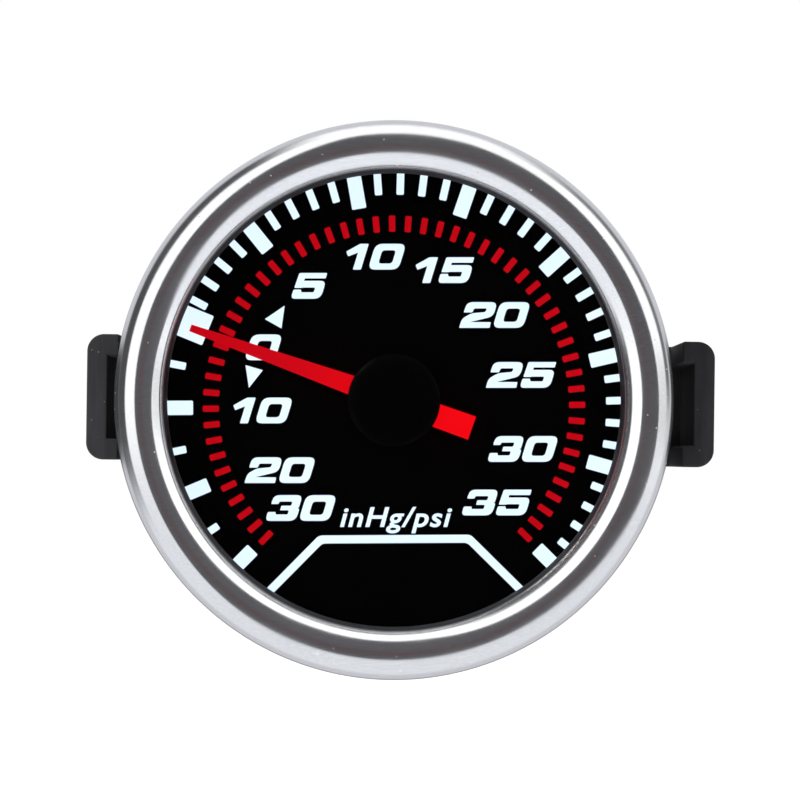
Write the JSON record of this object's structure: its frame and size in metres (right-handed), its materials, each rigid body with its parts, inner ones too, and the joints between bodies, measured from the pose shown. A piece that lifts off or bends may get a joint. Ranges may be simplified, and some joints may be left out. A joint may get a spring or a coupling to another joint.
{
  "type": "boost gauge",
  "caption": "Round panel boost and vacuum gauge: brushed bezel, smoked lens, lit dial, pressure tube movement, mounting strap with thumb nuts.",
  "frame": {"origin": "on the pointer's axis, at the bezel's rear face, which rests on the panel", "axes": "the dial faces -Y, +Z points to twelve o'clock, +X to three o'clock, the case runs to +Y"},
  "size_m": [0.0682, 0.0652, 0.06],
  "materials": {
    "brushed_steel": "horizontally brushed satin",
    "black_can": "satin black",
    "smoked_lens": "smoked, polished",
    "black_rubber": "matt",
    "black_plastic": "matt",
    "dial_black": "matt print",
    "white_print": "lit from behind",
    "red_print": "lit from behind",
    "clear_guide": "clear moulded",
    "circuit_board": "solder mask",
    "lamp_body": "moulded",
    "white_sleeve": "moulded",
    "brass": "machined",
    "steel": "plated",
    "bronze_tube": "drawn",
    "blue_steel": "blued",
    "pointer_red": "lit from inside",
    "hub_black": "satin",
    "strap_plastic": "satin moulded"
  },
  "bodies": {
    "housing": {"case_can": "black_can", "bezel_ring": "brushed_steel", "lens": "smoked_lens", "lens_seal": "black_rubber", "dial_spacer_ring": "black_plastic", "dial_plate": "dial_black", "scale_white_marks": "white_print", "scale_red_marks": "red_print", "scale_numerals": "white_print", "dial_border_line": "white_print", "light_guide": "clear_guide", "lamp_board": "circuit_board", "lamp_leds": "lamp_body", "inner_sleeve": "white_sleeve", "movement_front_plate": "brass", "movement_rear_plate": "brass", "movement_pillars": "brass", "movement_screws": "steel", "socket_block": "brass", "block_screws": "steel", "bourdon_tube": "bronze_tube", "hairspring": "blue_steel", "hairspring_stud": "brass", "sector_stops": "steel", "inlet_fitting": "brass", "inlet_washer": "steel", "inlet_lock_nut": "brass", "mounting_studs": "steel", "stud_base_nuts": "steel", "wire_grommet": "black_rubber"},
    "pointer": {"pointer_blade": "pointer_red", "pointer_hub_cap": "hub_black", "pointer_boss": "brass", "pointer_arbor": "steel", "pinion": "brass", "hairspring_collet": "brass"},
    "sector": {"sector_gear": "brass", "sector_arbor": "steel", "tail_pin": "steel"},
    "link": {"link_bar": "steel", "tube_tip": "brass", "tip_pin": "steel"},
    "strap": {"mounting_strap": "strap_plastic", "lock_washers": "steel"},
    "thumb_left": {"thumb_nut_left": "steel"},
    "thumb_right": {"thumb_nut_right": "steel"}
  },
  "joints": [
    {"name": "sector_swing", "type": "hinge", "parent": "housing", "child": "sector", "pos_m": [0, 0.013, -0.01125], "axis": [0, -1, 0], "range_deg": [-8.22, 25.82], "stiffness_Nm_per_rad": 0.05, "deforming": ["bourdon_tube", "hairspring"]},
    {"name": "pointer_turn", "type": "hinge", "parent": "housing", "child": "pointer", "pos_m": [0, 0, 0], "axis": [0, -1, 0], "range_deg": [-206.6, 65.8]},
    {"name": "link_swing", "type": "hinge", "parent": "sector", "child": "link", "pos_m": [-0.00069, 0.0143, -0.0157], "axis": [0, -1, 0], "range_deg": [-25.82, 8.22]},
    {"name": "strap_slide", "type": "slide", "parent": "housing", "child": "strap", "axis": [0, 1, 0], "range_m": [-0.0015, 0.006]},
    {"name": "thumb_left_turn", "type": "hinge", "parent": "strap", "child": "thumb_left", "pos_m": [-0.016, 0.0436, 0], "axis": [0, 1, 0], "range_deg": [-770, 3080]},
    {"name": "thumb_right_turn", "type": "hinge", "parent": "strap", "child": "thumb_right", "pos_m": [0.016, 0.0436, 0], "axis": [0, 1, 0], "range_deg": [-770, 3080]}
  ],
  "couplings": [
    {"joint": "pointer_turn", "follows": "sector_swing", "ratio": -8},
    {"joint": "link_swing", "follows": "sector_swing", "ratio": -1},
    {"joint": "strap_slide", "follows": "thumb_left_turn", "m_per_rad": 0.00011141},
    {"joint": "thumb_right_turn", "follows": "thumb_left_turn", "ratio": 1}
  ]
}
